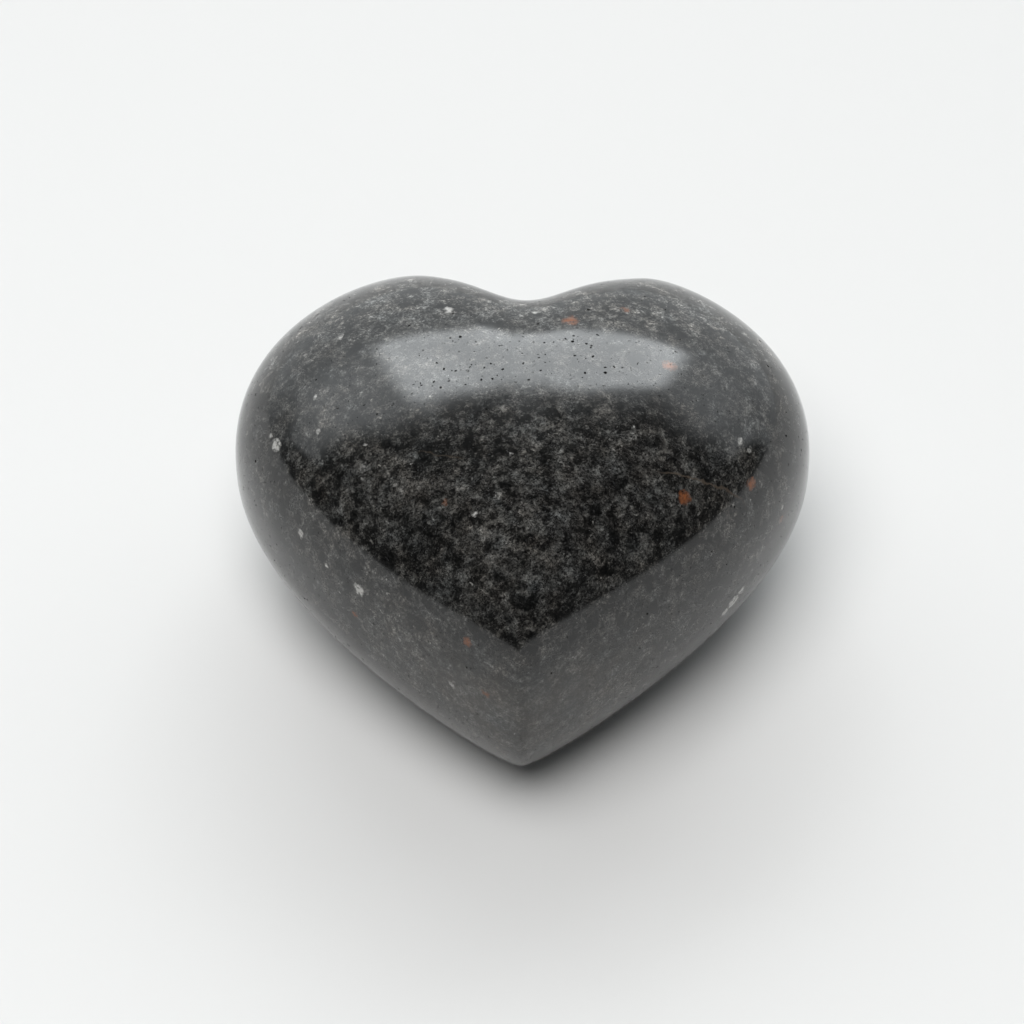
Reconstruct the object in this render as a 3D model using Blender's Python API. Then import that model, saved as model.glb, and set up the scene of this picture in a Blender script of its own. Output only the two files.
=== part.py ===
"""A puffy heart, cut from one speckled pebble and polished all over.

Seen from above, the rim is a closed Bezier curve of five points: the tip, the two sides and the
two lobes. A second, softer curve with a blunt tip is what the heart rounds off to at its top and
its belly. A sphere is drawn out to these curves: each of its spokes runs to one point of them,
and a vertex's height on the sphere says how far out along the spoke it goes and how high it
lies. A groove ground between the lobes makes the cleft, and the ridge down to the tip stands a
little full. The belly is ground to a small flat, and the stone rests on it.
"""
import math

import bmesh
import bpy
from mathutils import Vector
from mathutils.geometry import interpolate_bezier

MM = 0.001

# the rim from above, tip towards -Y, anticlockwise. Each row: place, direction of travel
# through it, reach of the handle before it and of the one after it, and steps to the next row
RIM = (
    ((-0.8 * MM, -28.6 * MM), (1, 0), 3.0 * MM, 3.0 * MM, 30),     # tip
    ((31.9 * MM, 9.7 * MM), (0, 1), 17.3 * MM, 12.2 * MM, 14),     # right side
    ((15.3 * MM, 30.0 * MM), (-1, 0), 4.8 * MM, 9.0 * MM, 32),     # right lobe
    ((-13.7 * MM, 30.6 * MM), (-1, 0), 9.0 * MM, 7.5 * MM, 14),    # left lobe
    ((-33.0 * MM, 10.0 * MM), (0, -1), 12.8 * MM, 17.7 * MM, 30),  # left side
)
CROWN_SCALE = 0.94          # the softer curve's sides and lobes, against the rim's
CROWN_TIP_REACH = 15.0 * MM     # its tip's handles, which make the tip blunt
CROWN_POWER = 1.5           # how soon it takes over on the way up from the rim

GROOVE_DEPTH = 7.6 * MM     # how far the groove between the lobes cuts in at the rim
GROOVE_WIDTH = 7.7 * MM     # from its middle to where a third of the depth is left
GROOVE_PLACE = -0.3 * MM    # its middle, a little right of the tip
GROOVE_HOLD = 3.0           # how fast it fades towards the top and the belly
NOSE_REACH = 3.1 * MM       # how far the ridge down to the tip stands out, midway up

DOME_HEIGHT = 21.4 * MM     # rim to the top
BELLY_DEPTH = 16.0 * MM     # rim to the lowest point, before the flat is ground
REACH_POWER = 0.83          # under 1 makes the flanks fuller than an ellipse's
RISE_POWER = 0.83           # under 1 makes the top and the belly flatter than an ellipse's

RINGS = 34                  # bands of faces from the top to the belly
FLAT_RINGS = 2              # bands of the belly that the flat takes away

STONE_COLOUR = (0.036, 0.035, 0.034, 1.0)
STONE_ROUGHNESS = 0.12


def remove_everything():
    for thing in list(bpy.data.objects):
        bpy.data.objects.remove(thing, do_unlink=True)


def crown_rows():
    """The rim's rows, drawn in and with a blunt tip."""
    tip, *others = RIM
    rows = [(tip[0], tip[1], CROWN_TIP_REACH, CROWN_TIP_REACH, tip[4])]
    for (x, y), *rest in others:
        rows.append(((x * CROWN_SCALE, y * CROWN_SCALE), *rest))
    return rows


def curve_points(rows):
    """One point of the closed curve for each spoke, anticlockwise from the tip."""
    points = []
    for index, (place, along, _, reach_after, steps) in enumerate(rows):
        next_place, next_along, reach_before, *_ = rows[(index + 1) % len(rows)]
        start = Vector(place)
        end = Vector(next_place)
        handle = start + Vector(along) * reach_after
        next_handle = end - Vector(next_along) * reach_before
        points += interpolate_bezier(start, handle, next_handle, end, steps + 1)[:-1]
    return points


def stone_point(on_sphere, rim_points, crown_points):
    """Where a point of the unit sphere lies on the heart, whose rim is at height 0."""
    turn = math.atan2(on_sphere.x, -on_sphere.y) / math.tau
    spoke = round(turn * len(rim_points)) % len(rim_points)
    rim = rim_points[spoke]
    out = min(1.0, math.hypot(on_sphere.x, on_sphere.y)) ** REACH_POWER
    place = rim.lerp(crown_points[spoke], (1 - out) ** CROWN_POWER) * out
    if rim.y > 0:
        across = (rim.x - GROOVE_PLACE) / GROOVE_WIDTH
        place.y -= GROOVE_DEPTH * math.exp(-across ** 2) * out ** GROOVE_HOLD
    else:
        tipward = rim.y / rim_points[0].y
        place.y -= NOSE_REACH * tipward ** 2 * 4 * out * (1 - out)
    height = DOME_HEIGHT if on_sphere.z > 0 else BELLY_DEPTH
    rise = math.copysign(abs(on_sphere.z) ** RISE_POWER, on_sphere.z)
    return Vector((place.x, place.y, height * rise))


def grind_flat(form):
    """Takes the lowest bands off the sphere and closes it with one level, sharp-edged face."""
    lowest_kept = -math.cos(math.pi * (FLAT_RINGS - 0.5) / RINGS)
    ground_away = [vertex for vertex in form.verts if vertex.co.z < lowest_kept]
    bmesh.ops.delete(form, geom=ground_away, context="VERTS")
    rim_of_flat = [edge for edge in form.edges if edge.is_boundary]
    bmesh.ops.contextual_create(form, geom=rim_of_flat)
    bmesh.ops.recalc_face_normals(form, faces=form.faces[:])
    for face in form.faces:
        face.smooth = True
    for edge in rim_of_flat:
        edge.smooth = False


def set_down(form):
    """Moves the stone so that its flat is at height 0 and its box is centred on the origin."""
    corners = [[pick(v.co[axis] for v in form.verts) for axis in range(3)] for pick in (min, max)]
    lowest, highest = (Vector(corner) for corner in corners)
    middle = (lowest + highest) / 2
    bmesh.ops.translate(form, verts=form.verts[:], vec=(-middle.x, -middle.y, -lowest.z))


def heart_mesh():
    rim_points = curve_points(RIM)
    crown_points = curve_points(crown_rows())
    form = bmesh.new()
    bmesh.ops.create_uvsphere(form, u_segments=len(rim_points), v_segments=RINGS, radius=1.0)
    grind_flat(form)
    for vertex in form.verts:
        vertex.co = stone_point(vertex.co, rim_points, crown_points)
    set_down(form)
    mesh = bpy.data.meshes.new("heart")
    form.to_mesh(mesh)
    form.free()
    return mesh


def stone_material():
    material = bpy.data.materials.new("polished_syenite")
    material.use_nodes = True
    shader = material.node_tree.nodes["Principled BSDF"]
    shader.inputs["Base Color"].default_value = STONE_COLOUR
    shader.inputs["Roughness"].default_value = STONE_ROUGHNESS
    shader.inputs["Metallic"].default_value = 0.0
    return material


remove_everything()
collection = bpy.data.collections.new("yooperlite_heart")
bpy.context.scene.collection.children.link(collection)
heart = bpy.data.objects.new("heart", heart_mesh())
heart.data.materials.append(stone_material())
collection.objects.link(heart)
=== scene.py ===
"""A puffy heart of dark speckled stone, polished all over, on a plain pale floor."""
import math

import bmesh
import bpy
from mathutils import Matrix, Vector


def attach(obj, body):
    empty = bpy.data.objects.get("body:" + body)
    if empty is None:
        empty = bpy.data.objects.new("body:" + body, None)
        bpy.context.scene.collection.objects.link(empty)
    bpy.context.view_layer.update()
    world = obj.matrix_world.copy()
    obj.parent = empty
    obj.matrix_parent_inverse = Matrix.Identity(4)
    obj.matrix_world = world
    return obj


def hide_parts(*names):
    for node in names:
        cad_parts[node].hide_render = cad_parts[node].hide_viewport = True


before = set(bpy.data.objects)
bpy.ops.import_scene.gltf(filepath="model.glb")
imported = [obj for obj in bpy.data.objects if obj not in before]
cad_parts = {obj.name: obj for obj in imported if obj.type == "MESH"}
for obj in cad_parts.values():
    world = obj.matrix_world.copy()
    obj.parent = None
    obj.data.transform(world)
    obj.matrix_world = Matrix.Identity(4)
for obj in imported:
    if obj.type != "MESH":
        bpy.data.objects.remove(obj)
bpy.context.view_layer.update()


# The stone is one pebble of sodalite syenite, sawn out and ground by hand to a puffy heart.
# Seen from above, its rim is a closed curve through five places. Higher up and lower down the
# heart rounds off towards a softer curve with a blunt tip, and a groove makes the cleft.
MM = 0.001

# each row, in mm: place, direction of travel through it, reach of the handles before and after
STONE_RIM = (
    ((-0.8, -28.6), (1, 0), 3.0, 3.0),     # tip
    ((31.9, 9.7), (0, 1), 17.3, 12.2),     # right side
    ((15.3, 30.0), (-1, 0), 4.8, 9.0),     # right lobe
    ((-13.7, 30.6), (-1, 0), 9.0, 7.5),    # left lobe
    ((-33.0, 10.0), (0, -1), 12.8, 17.7),  # left side
)
CROWN_SCALE = 0.94          # the softer curve's sides and lobes, against the rim's
CROWN_TIP_REACH = 15.0      # its tip's handles, which make the tip blunt
SPOKES_PER_ARC = 72         # points of each curve between two of its places

# the larger pits in the top, in mm from above, and a height near the face they are put onto
TOP_PITS = (
    (7.7, 5.5), (0.1, 4.2), (-3.2, 1.9), (9.0, 3.9), (5.6, 8.8), (-9.3, 4.7), (-5.5, 4.1),
    (-2.1, 3.3), (-2.7, 2.4), (5.7, 5.5), (4.7, 8.3), (2.4, 7.6), (-7.2, 3.3), (-7.9, 8.6),
    (6.8, 2.9), (6.5, 2.2), (5.5, 7.8), (-4.4, 1.8), (-6.1, 1.2), (-8.5, 3.7), (10.9, 4.1),
    (9.0, 3.1), (10.0, 4.1), (7.0, 7.5), (-9.6, 1.9), (-3.4, 4.2), (7.5, 6.9), (-4.1, 3.6),
    (0.7, 1.7), (2.0, 3.1), (-11.1, 1.9), (3.4, 7.7), (-8.8, 1.0), (6.9, 5.1), (1.8, 5.1),
    (8.3, 9.1), (-11.3, 6.1),
)
TOP_PITS_HEIGHT = 37

# grains that stand out, in mm: middle and width of each
RUST_GRAINS = (
    (5.3, 11.5, 36.0, 1.4), (11.4, 14.1, 35.0, 0.6), (16.0, 5.4, 35.4, 1.3),
    (17.4, -9.9, 31.2, 1.3), (24.9, -4.4, 27.1, 1.1), (28.7, -2.7, 19.0, 0.7),
    (-5.8, -25.1, 25.6, 0.8), (-18.2, -16.0, 18.8, 0.7), (-8.2, -13.5, 34.6, 0.3),
    (-3.9, -27.6, 19.8, 0.6),
)
PALE_GRAINS = (
    (-8.1, 13.7, 35.4, 0.9), (-20.0, 11.5, 33.3, 0.5), (-26.9, 0.5, 27.9, 1.4),
    (-27.6, 1.9, 27.7, 0.5), (-22.5, 3.3, 32.5, 0.5), (-22.1, -1.1, 31.8, 0.4),
    (-16.9, -4.5, 33.8, 0.2), (-24.1, -8.2, 23.2, 0.7), (-17.6, -15.8, 22.8, 1.3),
    (-21.2, -12.1, 22.4, 0.5), (-7.5, -25.2, 18.3, 0.5), (23.3, -10.3, 14.0, 1.5),
    (22.3, -11.2, 13.4, 1.2), (24.2, -9.3, 14.6, 1.0), (23.7, -1.4, 30.6, 0.7),
    (24.7, -1.7, 29.5, 0.5), (1.5, 13.6, 35.2, 0.6), (28.7, -2.3, 20.5, 0.5),
    (-1.2, -8.5, 36.9, 0.15), (-5.0, -15.6, 35.1, 0.4),
)
BLACK_GRAINS = (
    (-1.4, -27.0, 28.0, 2.1), (4.6, -24.1, 29.2, 2.2), (-5.2, -24.7, 27.5, 1.3),
    (-11.7, -14.9, 32.1, 1.8), (-14.2, -16.3, 28.4, 2.8), (-17.9, -12.4, 28.5, 1.3),
    (-21.6, -5.3, 30.3, 1.1),
)
# cloudy patches paler and darker than the rest
PALER_PATCHES = (
    (9.4, -6.7, 36.0, 4.0), (18.0, -7.8, 31.9, 4.0), (12.0, -15.3, 31.6, 2.0),
    (-17.6, -5.9, 32.9, 3.0), (-14.0, -9.7, 33.4, 3.0), (-2.8, -17.5, 35.1, 2.0),
)
DARKER_PATCHES = ((0.9, -5.8, 37.1, 3.0), (19.8, -2.5, 33.0, 3.0), (23.7, -5.4, 28.1, 2.0))

# tones are as the eye sees them, and light is a tone to the power of 2.2
EYE_POWER = 2.2
GROUND_TONE = 0.176
MASS_SWAY = 0.55            # how much coarse masses, wide clouds and patches sway the tone
CLOUD_SWAY = 0.17
PATCH_SWAY = 0.035
DARKEST_GROUND = 0.09
BLACK_DEPTH = 0.5           # how much of the tone a black mineral takes away
# crystals to a millimetre, and how much a crystal of that size sways the tone
CRYSTAL_SIZES = ((1.4, 0.2), (2.6, 0.4), (4.8, 0.5), (9.0, 0.7))
SHADE_OF_GREEN = 0.97       # the grey's green and blue, against its red
SHADE_OF_BLUE = 0.905
# painted light from behind on the lobes: how much more marked and how much paler it makes them
LOBE_PAINTED_LIGHT_CONTRAST = 0.4
LOBE_PAINTED_LIGHT_GAIN = 2.0
TIP_GAIN = 0.04
VEIN_FORWARD = 10.9         # mm in front of the middle where the veinlets cross it
VEIN_WANDER = 1.6
VEIN_COLOUR = (0.07, 0.055, 0.042)
PALE_COLOUR = (0.42, 0.41, 0.39)
RUST_COLOUR = (0.2, 0.07, 0.028)

STONE_IOR = 1.52
POLISHED = 0.1              # roughness
UNEVEN_POLISH = 0.03
PIT_ROUGHNESS = 0.6         # what a pit adds, because the polish doesn't reach into it
# painted shade: how much a pit or pinhole is darkened
PIT_PAINTED_SHADE = 0.6
PINHOLE_DEPTH = 0.02        # mm, for the bump
GRIND_MARKS = 0.002
RAGGEDNESS = 1.1            # mm that the grains' edges stray
FRONT = (0, -0.64, 0.77)    # the way that the placed grains face
HALF = (0.5, 0.5, 0.5)


class Wire:
    """One output of a node. Arithmetic on it adds Math nodes to its tree."""

    def __init__(self, socket):
        self.socket = socket

    @classmethod
    def node(cls, tree, kind, settings=None, sockets=None, output=0):
        """Adds any node: its settings, then a value, a wire or a list of wires for each socket."""
        node = tree.nodes.new(kind)
        for name, value in (settings or {}).items():
            setattr(node, name, value)
        for key, value in (sockets or {}).items():
            if isinstance(value, (Wire, list)):
                for wire in value if isinstance(value, list) else [value]:
                    tree.links.new(wire.socket, node.inputs[key])
            else:
                node.inputs[key].default_value = value
        return cls(node.outputs[output]) if node.outputs else node

    def after(self, kind, settings=None, sockets=None, output=0):
        """Adds a node that takes this wire first."""
        return self.node(self.socket.id_data, kind, settings, {0: self, **(sockets or {})}, output)

    def further(self, output):
        """Another output of the same node."""
        return Wire(self.socket.node.outputs[output])

    def math(self, operation, *others):
        return self.after("ShaderNodeMath", {"operation": operation}, dict(enumerate(others, 1)))

    def math_from(self, operation, first):
        """The same with the other number first."""
        sockets = {0: first, 1: self}
        return self.node(self.socket.id_data, "ShaderNodeMath", {"operation": operation}, sockets)

    def vector_math(self, operation, *others, output=0):
        sockets = dict(enumerate(others, 1))
        return self.after("ShaderNodeVectorMath", {"operation": operation}, sockets, output)

    def scaled(self, by):
        return self.after("ShaderNodeVectorMath", {"operation": "SCALE"}, {"Scale": by})

    def fade(self, start, end):
        """0 at the start and 1 at the end, level beyond them."""
        return self.after("ShaderNodeMapRange", None, {1: start, 2: end})

    def blend(self, first, second):
        """The first vector where this is 0, the second where it is 1."""
        return self.after("ShaderNodeMix", {"data_type": "VECTOR"}, {4: first, 5: second}, 1)

    def feed(self, shader, name):
        self.socket.id_data.links.new(self.socket, shader.inputs[name])

    def parts(self):
        """A vector's x, y and z, or a colour's red, green and blue."""
        first = self.after("ShaderNodeSeparateXYZ")
        return first, first.further(1), first.further(2)

    def __add__(self, other):
        return self.math("ADD", other)

    __radd__ = __add__

    def __sub__(self, other):
        return self.math("SUBTRACT", other)

    def __rsub__(self, other):
        return self.math_from("SUBTRACT", other)

    def __mul__(self, other):
        return self.math("MULTIPLY", other)

    __rmul__ = __mul__

    def __truediv__(self, other):
        return self.math("DIVIDE", other)

    def __rtruediv__(self, other):
        return self.math_from("DIVIDE", other)

    def __pow__(self, other):
        return self.math("POWER", other)

    def __rpow__(self, other):
        return self.math_from("POWER", other)


stone = bpy.data.materials.new("polished_syenite")
stone.use_nodes = True
polish = stone.node_tree.nodes["Principled BSDF"]
polish.inputs["IOR"].default_value = STONE_IOR
spot = Wire.node(stone.node_tree, "ShaderNodeTexCoord", output="Object").scaled(1 / MM)
along_x, along_y, up_z = spot.parts()


def noise(per_mm, detail=2.0, roughness=0.5, moved=(0, 0, 0), output=0):
    """Noise with that many bumps to a millimetre, from 0 to 1."""
    sockets = {"Scale": per_mm, "Detail": detail, "Roughness": roughness}
    return spot.vector_math("ADD", moved).after("ShaderNodeTexNoise", None, sockets, output)


astray = noise(1.3, roughness=0.6, output=1).vector_math("SUBTRACT", HALF).scaled(RAGGEDNESS)
ragged = spot.vector_math("ADD", astray)


def grains(places, edge):
    """1 in the grains and 0 between them, with an edge that many mm to either side."""
    nearest = None
    for *middle, width in places:
        gap = ragged.vector_math("DISTANCE", tuple(middle), output=1) - width / 2
        nearest = nearest.math("MINIMUM", gap) if nearest else gap
    return nearest.fade(edge, -edge)


def crystals(per_mm):
    """A random tone for each crystal, from -0.5 to 0.5."""
    return spot.after("ShaderNodeTexVoronoi", None, {"Scale": per_mm}, 1).parts()[0] - 0.5


def scatter(per_mm, radius, share, moved):
    """1 in grains scattered at random, of about that radius, in a share of the cells."""
    cells = ragged.vector_math("ADD", moved).after("ShaderNodeTexVoronoi", None, {"Scale": per_mm})
    chance, width, _ = cells.further("Color").parts()
    chosen = chance.math("LESS_THAN", share)
    usual = radius * per_mm
    reach = usual * (0.5 + width)
    return ((reach - cells) / (usual * 0.5)).fade(0.0, 1.0) * chosen


# painted light: the lobes are made paler and more marked, for the stronger light that falls on
# them from behind; and the stone is paler and calmer down at the tip
lobe_painted_light = along_y.fade(9.0, 16.0)
low_tip = along_y.fade(-16.0, -26.0) * up_z.fade(26.0, 20.0)

# black minerals are ragged or round, and a few of them stand out
black = noise(0.5, detail=3.0, roughness=0.65, moved=(0, 30, 0)).fade(0.52, 0.6)
black = black.math("MAXIMUM", scatter(0.4, radius=0.6, share=0.35, moved=(0, 0, 30)) * 0.8)
black = black.math("MAXIMUM", grains(BLACK_GRAINS, edge=0.3))
black = black * (1 - low_tip * 0.6)

cloud = noise(0.13, roughness=0.6, moved=(40, 0, 0)) - 0.5
mass = noise(0.6, detail=2.5, roughness=0.8) - 0.5
patches = grains(PALER_PATCHES, edge=2.0) - grains(DARKER_PATCHES, edge=2.0)
ground = GROUND_TONE + mass * MASS_SWAY + cloud * CLOUD_SWAY + patches * PATCH_SWAY
ground = ground.math("MAXIMUM", DARKEST_GROUND) * (1 - black * BLACK_DEPTH)
sway = sum(crystals(per_mm) * share for per_mm, share in CRYSTAL_SIZES)
dots = crystals(5.5).fade(0.12, 0.5) * 0.09
grey = ground * (1 + sway) + dots
# the lobes take their painted light here
grey = grey ** (EYE_POWER + lobe_painted_light * LOBE_PAINTED_LIGHT_CONTRAST) * (1 + lobe_painted_light * LOBE_PAINTED_LIGHT_GAIN) + low_tip * TIP_GAIN

# white crystals lie strewn through it, broken up by a finer noise
white = scatter(1.1, radius=0.15, share=0.06, moved=(9, 0, 0)) * 0.2
white = white + scatter(0.5, radius=0.35, share=0.03, moved=(0, 9, 0)) * 0.12
grey = grey + white * noise(3.0, detail=1.0, moved=(0, 0, 9)).fade(0.3, 0.6)
warmth = noise(0.3, detail=3.0, roughness=0.6, moved=(0, 60, 0)) - 0.5
colour = grey.after("ShaderNodeCombineXYZ", None, {
    0: grey * (1 + warmth * 0.25),
    1: grey * SHADE_OF_GREEN,
    2: grey * (SHADE_OF_BLUE - warmth * 0.2),
})

wander = (noise(0.5, detail=3.0, roughness=0.6, moved=(0, 0, 50)) - 0.5) * VEIN_WANDER


def veinlet(slope, half_width, start, end, strength):
    """A thin wandering line across the stone, which fades in and out between places in x."""
    off_line = (along_y + along_x * slope + VEIN_FORWARD + wander).math("ABSOLUTE")
    return off_line.fade(half_width, 0.04) * along_x.fade(*start) * along_x.fade(*end) * strength


vein = veinlet(-0.18, 0.16, start=(14.0, 16.0), end=(24.5, 23.0), strength=0.8)
faint_vein = veinlet(0.34, 0.14, start=(-11.5, -10.5), end=(-6.0, -7.0), strength=0.3)
colour = vein.math("MAXIMUM", faint_vein).blend(colour, VEIN_COLOUR)

# pale and rusty grains stand at their places in front, and others are scattered on the far side
far_side = spot.vector_math("DOT_PRODUCT", FRONT, output=1).fade(9.0, 5.0)
pale = scatter(0.2, radius=0.45, share=0.3, moved=(5, 5, 0)) * far_side
pale = grains(PALE_GRAINS, edge=0.18).math("MAXIMUM", pale)
mottled = noise(2.4, roughness=0.7, moved=(0, 70, 0)).fade(0.28, 0.52)
colour = (pale * mottled).blend(colour, PALE_COLOUR)
rust = scatter(0.16, radius=0.5, share=0.3, moved=(3, 0, 7)) * far_side
rust = grains(RUST_GRAINS, edge=0.3).math("MAXIMUM", rust)
mottled = noise(2.6, roughness=0.8, moved=(0, 0, 80)).fade(0.28, 0.55)
colour = (rust * mottled).blend(colour, RUST_COLOUR)

# pinholes are too fine to cut; painted shade darkens them as it does the cut pits, and they dull
# the face as those do
gathered = noise(0.2, detail=1.0, moved=(0, 90, 0)).fade(0.34, 0.42)
pinholes = scatter(2.5, radius=0.08, share=0.3, moved=(0, 3, 9)) * gathered * 3
in_pit = Wire.node(stone.node_tree, "ShaderNodeAttribute", {"attribute_name": "pit"}, output=2)
in_pit = in_pit.math("MAXIMUM", pinholes).math("MINIMUM", 1.0)
colour.scaled(1 - in_pit * PIT_PAINTED_SHADE).feed(polish, "Base Color")
polish_left = noise(0.2, detail=3.0, roughness=0.6, moved=(80, 0, 0)).fade(0.3, 0.7)
rough = polish_left * UNEVEN_POLISH + POLISHED + in_pit * PIT_ROUGHNESS
rough.feed(polish, "Roughness")
relief = noise(2.5, detail=3.0, roughness=0.7) * GRIND_MARKS - in_pit * PINHOLE_DEPTH
relief = Wire.node(stone.node_tree, "ShaderNodeBump", None, {"Distance": MM, "Height": relief})
relief.feed(polish, "Normal")


def closed_curve(name, rows):
    """A closed Bezier curve in the level plane through the places in the rows."""
    data = bpy.data.curves.new(name, "CURVE")
    data.dimensions = "3D"
    spline = data.splines.new("BEZIER")
    spline.bezier_points.add(len(rows) - 1)
    spline.use_cyclic_u = True
    spline.resolution_u = SPOKES_PER_ARC
    for point, (place, along, before, after) in zip(spline.bezier_points, rows):
        middle = Vector((*place, 0)) * MM
        along = Vector((*along, 0)) * MM
        point.handle_left_type = point.handle_right_type = "FREE"
        point.co = middle
        point.handle_left = middle - along * before
        point.handle_right = middle + along * after
    return bpy.data.objects.new(name, data)


(tip_place, tip_along, *_), *other_rows = STONE_RIM
crown_rows = [(tip_place, tip_along, CROWN_TIP_REACH, CROWN_TIP_REACH)]
crown_rows += [((x * CROWN_SCALE, y * CROWN_SCALE), *rest) for (x, y), *rest in other_rows]

pit_places = bpy.data.meshes.new("top_pits")
pit_places.from_pydata([(x * MM, y * MM, TOP_PITS_HEIGHT * MM) for x, y in TOP_PITS], [], [])

form = bpy.data.node_groups.new("heart_form", "GeometryNodeTree")
form.interface.new_socket("Geometry", in_out="OUTPUT", socket_type="NodeSocketGeometry")
form_sizes = {
    "Rim": closed_curve("rim_curve", STONE_RIM),
    "Crown": closed_curve("crown_curve", crown_rows),
    "Spokes": SPOKES_PER_ARC * len(STONE_RIM),
    "Rings": 170,
    "Crown power": 1.5,             # how soon the crown curve takes over from the rim
    "Groove depth": 7.6 * MM,
    "Groove width": 7.7 * MM,
    "Groove place": -0.3 * MM,
    "Groove hold": 3.0,             # how fast the groove fades towards the top and the belly
    "Nose reach": 3.1 * MM,         # how far the ridge down to the tip stands out, midway up
    "Dome height": 21.4 * MM,
    "Belly depth": 16.0 * MM,
    "Reach power": 0.83,            # under 1 makes the flanks fuller than a ball's
    "Rise power": 0.83,             # under 1 makes the top and the belly flatter
    "Flat from": math.cos(math.tau / 34),   # how far down a ball the flat starts
    "Waviness": 0.06 * MM,
    "Waves to a metre": 80.0,
    "Waves from": 3.0 * MM,         # above the flat, which stays level
    "Top pits": bpy.data.objects.new("top_pits", pit_places),
    "Pits to a square metre": 40000.0,
    "Pit clusters to a metre": 130.0,
    "Least pit": 0.07 * MM,
    "Largest pit": 0.2 * MM,
    "Pit dents": 0.15 * MM,
    "Pit dents to a metre": 5000.0,
    "Sharp edge": 0.4,              # faces that meet at more than this many radians
}
socket_types = {float: "NodeSocketFloat", int: "NodeSocketInt"}
for name, value in form_sizes.items():
    socket_type = socket_types.get(type(value), "NodeSocketObject")
    form.interface.new_socket(name, in_out="INPUT", socket_type=socket_type)
given = Wire.node(form, "NodeGroupInput")
size = {name: given.further(name) for name in form_sizes}

# each spoke of a ball runs out to one point of the two curves
ball_sockets = {"Segments": size["Spokes"], "Rings": size["Rings"], "Radius": 1.0}
ball = Wire.node(form, "GeometryNodeMeshUVSphere", None, ball_sockets)
on_ball = Wire.node(form, "GeometryNodeInputPosition")
x, y, z = on_ball.parts()
turn = x.math("ARCTAN2", y * -1) / math.tau
spoke = (turn * size["Spokes"] + 0.5).math("FLOOR").math("FLOORED_MODULO", size["Spokes"])


def on_curve(curve):
    """Where each spoke meets the curve, and the curve's tip."""
    shape = curve.after("GeometryNodeObjectInfo", output="Geometry")
    shape = shape.after("GeometryNodeResampleCurve", {"mode": "EVALUATED"})
    settings = {"data_type": "FLOAT_VECTOR", "domain": "POINT"}
    return [
        shape.after("GeometryNodeSampleIndex", settings, {1: on_ball, 2: index})
        for index in (spoke, 0)
    ]


rim, rim_tip = on_curve(size["Rim"])
crown, _ = on_curve(size["Crown"])
rim_x, rim_y, _ = rim.parts()
_, tip_y, _ = rim_tip.parts()
out = (x * x + y * y).math("SQRT").math("MINIMUM", 1.0) ** size["Reach power"]
towards_crown = (1 - out).math("MAXIMUM", 0.0) ** size["Crown power"]
place_x, place_y, _ = towards_crown.blend(rim, crown).scaled(out).parts()
across = (rim_x - size["Groove place"]) / size["Groove width"]
groove = size["Groove depth"] * (across * across * -1).math("EXPONENT")
groove = groove * out ** size["Groove hold"]
tipward = rim_y / tip_y
nose = size["Nose reach"] * tipward * tipward * 4 * out * (1 - out)
at_lobes = rim_y.math("GREATER_THAN", 0.0)
place_y = place_y - groove * at_lobes - nose * (1 - at_lobes)
above = z.math("GREATER_THAN", 0.0)
height = size["Dome height"] * above + size["Belly depth"] * (1 - above)
level = z.math("MAXIMUM", size["Flat from"] * -1)
rise = level.math("ABSOLUTE") ** size["Rise power"] * level.math("SIGN")
on_heart = place_x.after("ShaderNodeCombineXYZ", None, {1: place_y, 2: height * rise})
whole = ball.after("GeometryNodeSetPosition", None, {"Position": on_heart})

# the stone is set down with its flat at height 0 and its middle over the origin
lowest = whole.after("GeometryNodeBoundBox", output="Min")
middle = lowest.vector_math("ADD", lowest.further("Max")).vector_math("MULTIPLY", (0.5, 0.5, 0))
base = lowest.vector_math("MULTIPLY", (0, 0, 1))
set_down = middle.vector_math("ADD", base).scaled(-1.0)
whole = whole.after("GeometryNodeSetPosition", None, {"Offset": set_down})
whole = whole.after("GeometryNodeSetShadeSmooth")

# hand grinding leaves the faces a little wavy
normal = Wire.node(form, "GeometryNodeInputNormal")
wave_sockets = {"Scale": size["Waves to a metre"], "Detail": 1.0}
waves = Wire.node(form, "ShaderNodeTexNoise", None, wave_sockets) - 0.5
off_flat = Wire.node(form, "GeometryNodeInputPosition").parts()[2].fade(0.0, size["Waves from"])
waves = normal.scaled(waves * size["Waviness"] * off_flat)
whole = whole.after("GeometryNodeSetPosition", None, {"Offset": waves})

# pits are placed in the top, and others strewn where a wide noise is high, so in clusters
onto_face = whole.after("GeometryNodeProximity", {"target_element": "FACES"})
placed = size["Top pits"].after("GeometryNodeObjectInfo", output="Geometry")
placed = placed.after("GeometryNodeSetPosition", None, {"Position": onto_face})
cluster_sockets = {"Scale": size["Pit clusters to a metre"], "Detail": 1.0}
clusters = Wire.node(form, "ShaderNodeTexNoise", None, cluster_sockets).fade(0.5, 0.65)
density = size["Pits to a square metre"] * clusters
strewn = whole.after("GeometryNodeDistributePointsOnFaces", None, {"Density": density, "Seed": 4})
pit_points = Wire.node(form, "GeometryNodeJoinGeometry", None, {0: [placed, strewn]})


def each_way(length):
    """A vector of that length in x, y and z."""
    return length.after("ShaderNodeCombineXYZ", None, {1: length, 2: length})


def random_vector(seed, least, largest):
    sockets = {0: least, 1: largest, "Seed": seed}
    return Wire.node(form, "FunctionNodeRandomValue", {"data_type": "FLOAT_VECTOR"}, sockets)


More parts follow.
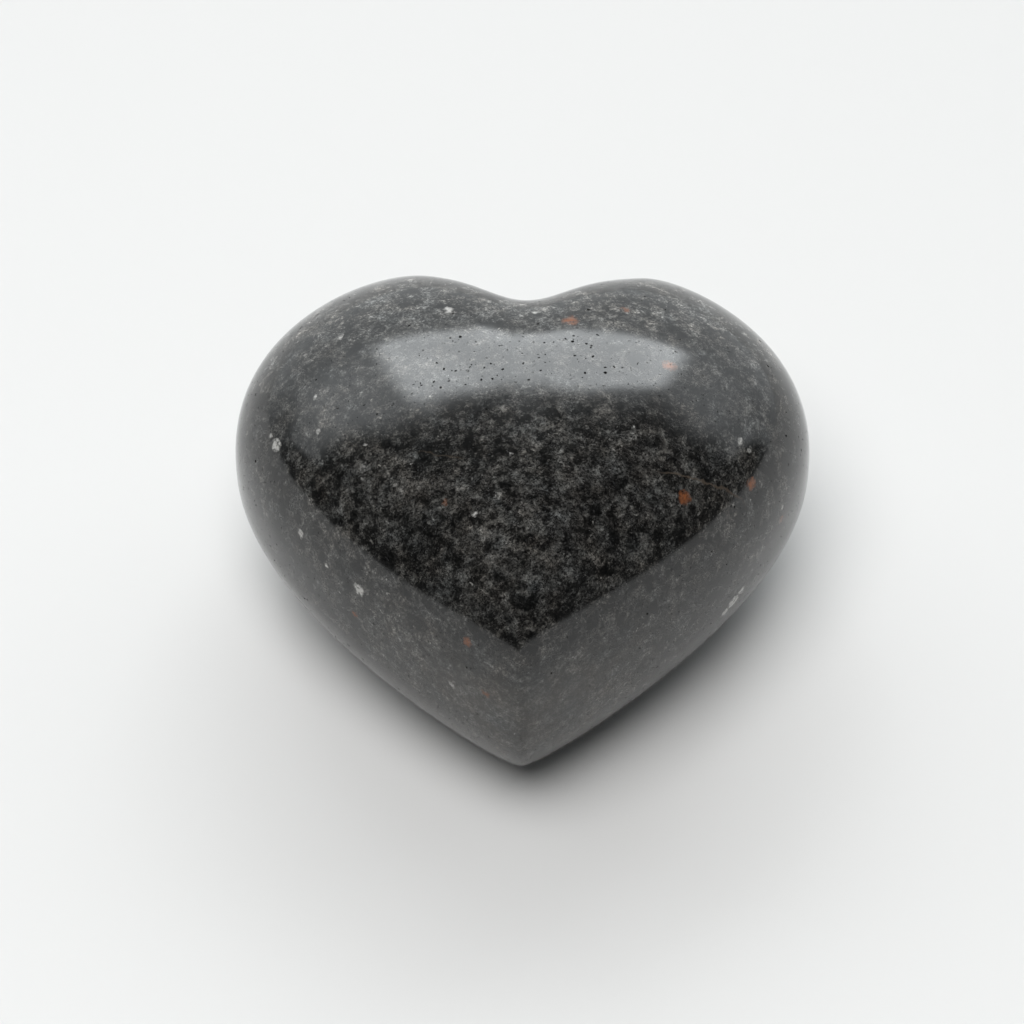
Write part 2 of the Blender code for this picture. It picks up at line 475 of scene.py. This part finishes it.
# each pit is a ball, stretched, turned and dented a little, and half sunk in the face
FULL_TURN = 6.3             # radians
width = random_vector(1, each_way(size["Least pit"]), each_way(size["Largest pit"]))
turned = random_vector(2, (0, 0, 0), (FULL_TURN, FULL_TURN, FULL_TURN))
pit_ball = Wire.node(form, "GeometryNodeMeshIcoSphere", None, {"Radius": 1.0, "Subdivisions": 3})
pit_sockets = {"Instance": pit_ball, "Scale": width, "Rotation": turned}
pits = pit_points.after("GeometryNodeInstanceOnPoints", None, pit_sockets)
pits = pits.after("GeometryNodeRealizeInstances")
dent_sockets = {"Scale": size["Pit dents to a metre"], "Detail": 1.0}
dents = Wire.node(form, "ShaderNodeTexNoise", None, dent_sockets, 1).vector_math("SUBTRACT", HALF)
pits = pits.after("GeometryNodeSetPosition", None, {"Offset": dents.scaled(size["Pit dents"])})
pits = pits.after("GeometryNodeStoreNamedAttribute", {"data_type": "FLOAT", "domain": "FACE"},
                  {"Name": "pit", "Value": 1.0})
whole = whole.after("GeometryNodeMeshBoolean", {"operation": "DIFFERENCE", "solver": "MANIFOLD"},
                    {"Mesh 2": pits})
sharp = Wire.node(form, "GeometryNodeInputMeshEdgeAngle").math("GREATER_THAN", size["Sharp edge"])
whole = whole.after("GeometryNodeSetShadeSmooth", {"domain": "EDGE"},
                    {"Selection": sharp, "Shade Smooth": False})
whole = whole.after("GeometryNodeRealizeInstances")
whole = whole.after("GeometryNodeSetMaterial", None, {"Material": stone})
Wire.node(form, "NodeGroupOutput", None, {0: whole})

carrier = bpy.data.objects.new("heart_form", bpy.data.meshes.new("heart_form"))
bpy.context.scene.collection.objects.link(carrier)
modifier = carrier.modifiers.new("heart_form", "NODES")
modifier.node_group = form
for item in form.interface.items_tree:
    if item.in_out == "INPUT":
        modifier[item.identifier] = form_sizes[item.name]
depsgraph = bpy.context.evaluated_depsgraph_get()
stone_mesh = bpy.data.meshes.new_from_object(carrier.evaluated_get(depsgraph))
for helper in (carrier, form_sizes["Rim"], form_sizes["Crown"], form_sizes["Top pits"]):
    bpy.data.objects.remove(helper)
heart = bpy.data.objects.new("heart_stone", stone_mesh)
bpy.context.scene.collection.objects.link(heart)

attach(heart, "root")
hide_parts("heart")


# The stage is a pale floor and backdrop, soft daylight from behind through a window-like panel,
# and a camera that looks down on the stone at 50 degrees. The polish mirrors only the near
# floor, which reaches out in front.
FLOOR_COLOUR = (0.68, 0.675, 0.665, 1.0)
BACKDROP_COLOUR = (0.76, 0.76, 0.76, 1)
STAGE_RADIUS = 6.0
FLOOR_SPOKES = 128
NEAR_CENTRE = Vector((0.0, 0.23, 0.0))
NEAR_RADIUS = 0.348
NEAR_BULGE = 0.3            # how much further it reaches in front
BULGE_SPOKE = 62            # the spoke, clockwise from the back, at the bulge's middle
BULGE_WIDTH = 6             # in spokes


def plain_material(name, colour, glow=0.0):
    material = bpy.data.materials.new(name)
    material.use_nodes = True
    surface = material.node_tree.nodes["Principled BSDF"]
    surface.inputs["Base Color"].default_value = (0, 0, 0, 1) if glow else colour
    surface.inputs["Roughness"].default_value = 0.7
    surface.inputs["Emission Color"].default_value = colour
    surface.inputs["Emission Strength"].default_value = glow
    return material


def stage_piece(name, mesh, material, **seen):
    piece = bpy.data.objects.new(name, mesh)
    bpy.context.scene.collection.objects.link(piece)
    mesh.materials.append(material)
    for kind, shown in seen.items():
        setattr(piece, "visible_" + kind, shown)


def floor_mesh(name, outer, inner=()):
    """A level disc out to a radius for each spoke, or a ring where it has inner ones too."""
    turns = [math.tau * i / FLOOR_SPOKES for i in range(FLOOR_SPOKES)]
    spokes = [Vector((math.sin(turn), math.cos(turn), 0)) for turn in turns]
    points = [NEAR_CENTRE + spoke * reach for spoke, reach in zip(spokes, outer)]
    faces = [list(range(FLOOR_SPOKES))[::-1]]
    if inner:
        points += [NEAR_CENTRE + spoke * reach for spoke, reach in zip(spokes, inner)]
        nexts = [(i, (i + 1) % FLOOR_SPOKES) for i in range(FLOOR_SPOKES)]
        faces = [[i, i + FLOOR_SPOKES, j + FLOOR_SPOKES, j] for i, j in nexts]
    mesh = bpy.data.meshes.new(name)
    mesh.from_pydata(points, [], faces)
    return mesh


pale_floor = plain_material("pale_floor", FLOOR_COLOUR)
bulge = [math.exp(-((i - BULGE_SPOKE) / BULGE_WIDTH) ** 2) for i in range(FLOOR_SPOKES)]
near_edge = [NEAR_RADIUS + NEAR_BULGE * share for share in bulge]
stage_piece("floor_near", floor_mesh("floor_near", near_edge), pale_floor)
far_edge = [STAGE_RADIUS] * FLOOR_SPOKES
stage_piece("floor_far", floor_mesh("floor_far", far_edge, near_edge), pale_floor, glossy=False)

dome = bpy.data.meshes.new("backdrop")
shell = bmesh.new()
bmesh.ops.create_uvsphere(shell, u_segments=64, v_segments=32, radius=STAGE_RADIUS)
shell.to_mesh(dome)
shell.free()
stage_piece("backdrop", dome, plain_material("pale_backdrop", BACKDROP_COLOUR, glow=1.0),
            glossy=False, diffuse=False, shadow=False, transmission=False)

# the daylight by direction, in degrees: aside is right of straight back, and pitch is up from
# straight back, past 90 in front
WINDOW_TOP = 46.5
WINDOW_FOOT = 29.7
WINDOW_LEFT = -21.0
WINDOW_RIGHT = 25.0
WINDOW_EDGE = 2             # its top and foot are sharp, and its sides soft
WINDOW_SIDE_EDGE = 5
UNLIT = 0.05
SKY = 0.95
LOW_SKY = 0.42              # what is added low down, where the flanks look
WINDOW = 4.15
DAYLIGHT_GREEN = 1.045      # against its red
DAYLIGHT_BLUE = 1.065

world = bpy.data.worlds.new("studio")
world.use_nodes = True
bpy.context.scene.world = world
right, back, up = Wire.node(world.node_tree, "ShaderNodeTexCoord", output="Generated").parts()
aside = right.math("ARCSINE") * (180 / math.pi)
pitch = up.math("ARCTAN2", back) * (180 / math.pi)


def below(value, limit, soft):
    """1 below the limit, fading to 0 over the soft distance about it."""
    return ((limit - value) / soft + 0.5).math("MINIMUM", 1.0).math("MAXIMUM", 0.0)


# the sky reaches up to the window's top, higher at both sides, and is hazy beside the window
top = aside.fade(-2, -34) * 14 + aside.fade(-34, -60) * 4
top = WINDOW_TOP + top + aside.fade(1, 9) * 2.2 + aside.fade(25, 50) * 12
haze = aside.fade(4, 18) + aside.fade(-8, -20) * 0.35
sky = below(pitch, top + haze * 5, haze * 10 + 2) * below(-85, pitch, 10)
left_gain = aside.fade(-5, -30) * pitch.fade(22, 42) * 0.4 - aside.fade(-48, -66) * 0.6
right_gain = aside.fade(20, 32) * 0.1 - aside.fade(45, 62) * 0.3
sky = sky * (1 + left_gain + right_gain) * below(aside.math("ABSOLUTE"), 75, 5)
low_sky = sky * below(30, pitch, 20)

# the window's foot dips a little in the middle, its right is a little brighter than its left,
# and its inside a little dimmer than its edges
foot = WINDOW_FOOT - (aside * aside / -3.2 ** 2).math("EXPONENT") * 4 - aside.fade(8, 16)
window = below(pitch, top, WINDOW_EDGE) * below(foot, pitch, WINDOW_EDGE) * (1 + aside / 300)
window = window * below(WINDOW_LEFT, aside, WINDOW_SIDE_EDGE)
window = window * below(aside, WINDOW_RIGHT, WINDOW_SIDE_EDGE)
inside = below(pitch, 45 - aside.fade(-2, -17) * 8, 4) * pitch.fade(30, 34)
inside = inside * aside.fade(-21, -14) * aside.fade(21, 14)
window = window * (1.09 - inside * 0.2)

light = UNLIT + sky * SKY + low_sky * LOW_SKY + window * WINDOW
tint = {1: light * DAYLIGHT_GREEN, 2: light * DAYLIGHT_BLUE}
light.after("ShaderNodeCombineXYZ", None, tint).feed(world.node_tree.nodes["Background"], "Color")

overhead = bpy.data.lights.new("overhead", "AREA")
overhead.shape = "DISK"
overhead.size = 0.9
overhead.energy = 11.5
overhead_lamp = bpy.data.objects.new("overhead", overhead)
overhead_lamp.location = (-0.15, -0.25, 1.1)
overhead_lamp.rotation_euler = (-overhead_lamp.location).to_track_quat("-Z", "Y").to_euler()
overhead_lamp.visible_glossy = False
overhead_lamp.visible_camera = False
bpy.context.scene.collection.objects.link(overhead_lamp)

TARGET = Vector((0.55, -0.86, 15.77)) * MM
DISTANCE = 420 * MM
ELEVATION = math.radians(50)
camera = bpy.data.cameras.new("camera")
camera.sensor_width = 36
camera.lens = 132.2
camera.shift_x = -0.0149
camera.shift_y = 0.0132
camera_object = bpy.data.objects.new("camera", camera)
camera_object.location = TARGET + DISTANCE * Vector((0, -math.cos(ELEVATION), math.sin(ELEVATION)))
camera_object.rotation_euler = (math.pi / 2 - ELEVATION, 0, 0)
bpy.context.scene.collection.objects.link(camera_object)
bpy.context.scene.camera = camera_object
bpy.context.scene.view_settings.view_transform = "Standard"
